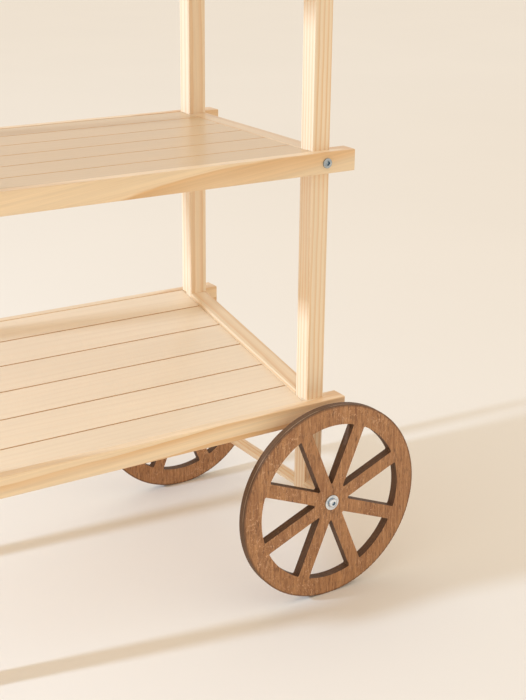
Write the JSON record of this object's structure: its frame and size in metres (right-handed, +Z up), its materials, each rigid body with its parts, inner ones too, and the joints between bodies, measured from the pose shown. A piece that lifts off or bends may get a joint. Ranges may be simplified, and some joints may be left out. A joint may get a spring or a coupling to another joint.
{
  "type": "bar cart",
  "caption": "Timber bar cart: level shelves over a sloped lower shelf, push bar and legs at one end, large spoked wheels at the other.",
  "frame": {"origin": "on the floor, under the centre of the cart's bounding box", "axes": "+X along the cart from the legs to the wheels, +Y from the front to the rear, +Z up"},
  "size_m": [0.7494, 0.4118, 0.893],
  "materials": {
    "pine_frame": "satin varnished pine",
    "pine_slats": "satin varnished pale pine boards",
    "stained_wood": "walnut-brown stained wood, satin",
    "zinc_steel": "bright zinc plated steel",
    "glide_plastic": "matt dark plastic"
  },
  "bodies": {
    "frame": {"post_front_left": "pine_frame", "post_front_right": "pine_frame", "post_rear_left": "pine_frame", "post_rear_right": "pine_frame", "lower_rail_front": "pine_frame", "lower_rail_rear": "pine_frame", "lower_side_rail_left": "pine_frame", "lower_side_rail_right": "pine_frame", "lower_ledger_left": "pine_frame", "lower_ledger_right": "pine_frame", "lower_batten": "pine_frame", "lower_slat_1": "pine_slats", "lower_slat_2": "pine_slats", "lower_slat_3": "pine_slats", "lower_slat_4": "pine_slats", "lower_slat_5": "pine_slats", "lower_slat_6": "pine_slats", "middle_rail_front": "pine_frame", "middle_rail_rear": "pine_frame", "middle_side_rail_left": "pine_frame", "middle_side_rail_right": "pine_frame", "middle_ledger_left": "pine_frame", "middle_ledger_right": "pine_frame", "middle_batten": "pine_frame", "middle_slat_1": "pine_slats", "middle_slat_2": "pine_slats", "middle_slat_3": "pine_slats", "middle_slat_4": "pine_slats", "middle_slat_5": "pine_slats", "middle_slat_6": "pine_slats", "upper_rail_front": "pine_frame", "upper_rail_rear": "pine_frame", "upper_side_rail_left": "pine_frame", "upper_side_rail_right": "pine_frame", "upper_ledger_left": "pine_frame", "upper_ledger_right": "pine_frame", "upper_batten": "pine_frame", "upper_slat_1": "pine_slats", "upper_slat_2": "pine_slats", "upper_slat_3": "pine_slats", "upper_slat_4": "pine_slats", "upper_slat_5": "pine_slats", "upper_slat_6": "pine_slats", "cross_bar": "pine_frame", "push_bar": "pine_frame", "front_spacer": "pine_frame", "rear_spacer": "pine_frame", "front_axle_bolt": "zinc_steel", "rear_axle_bolt": "zinc_steel", "front_washer": "zinc_steel", "rear_washer": "zinc_steel", "rail_bolts": "zinc_steel", "batten_screws": "zinc_steel", "glide_front": "glide_plastic", "glide_rear": "glide_plastic"},
    "front_wheel": {"front_wheel": "stained_wood", "front_wheel_sleeve": "zinc_steel"},
    "rear_wheel": {"rear_wheel": "stained_wood", "rear_wheel_sleeve": "zinc_steel"}
  },
  "joints": [
    {"name": "front_wheel_spin", "type": "hinge", "parent": "frame", "child": "front_wheel", "pos_m": [0.24375, -0.1945, 0.131], "axis": [0, 1, 0], "continuous": true},
    {"name": "rear_wheel_spin", "type": "hinge", "parent": "frame", "child": "rear_wheel", "pos_m": [0.24375, 0.1945, 0.131], "axis": [0, 1, 0], "continuous": true}
  ]
}
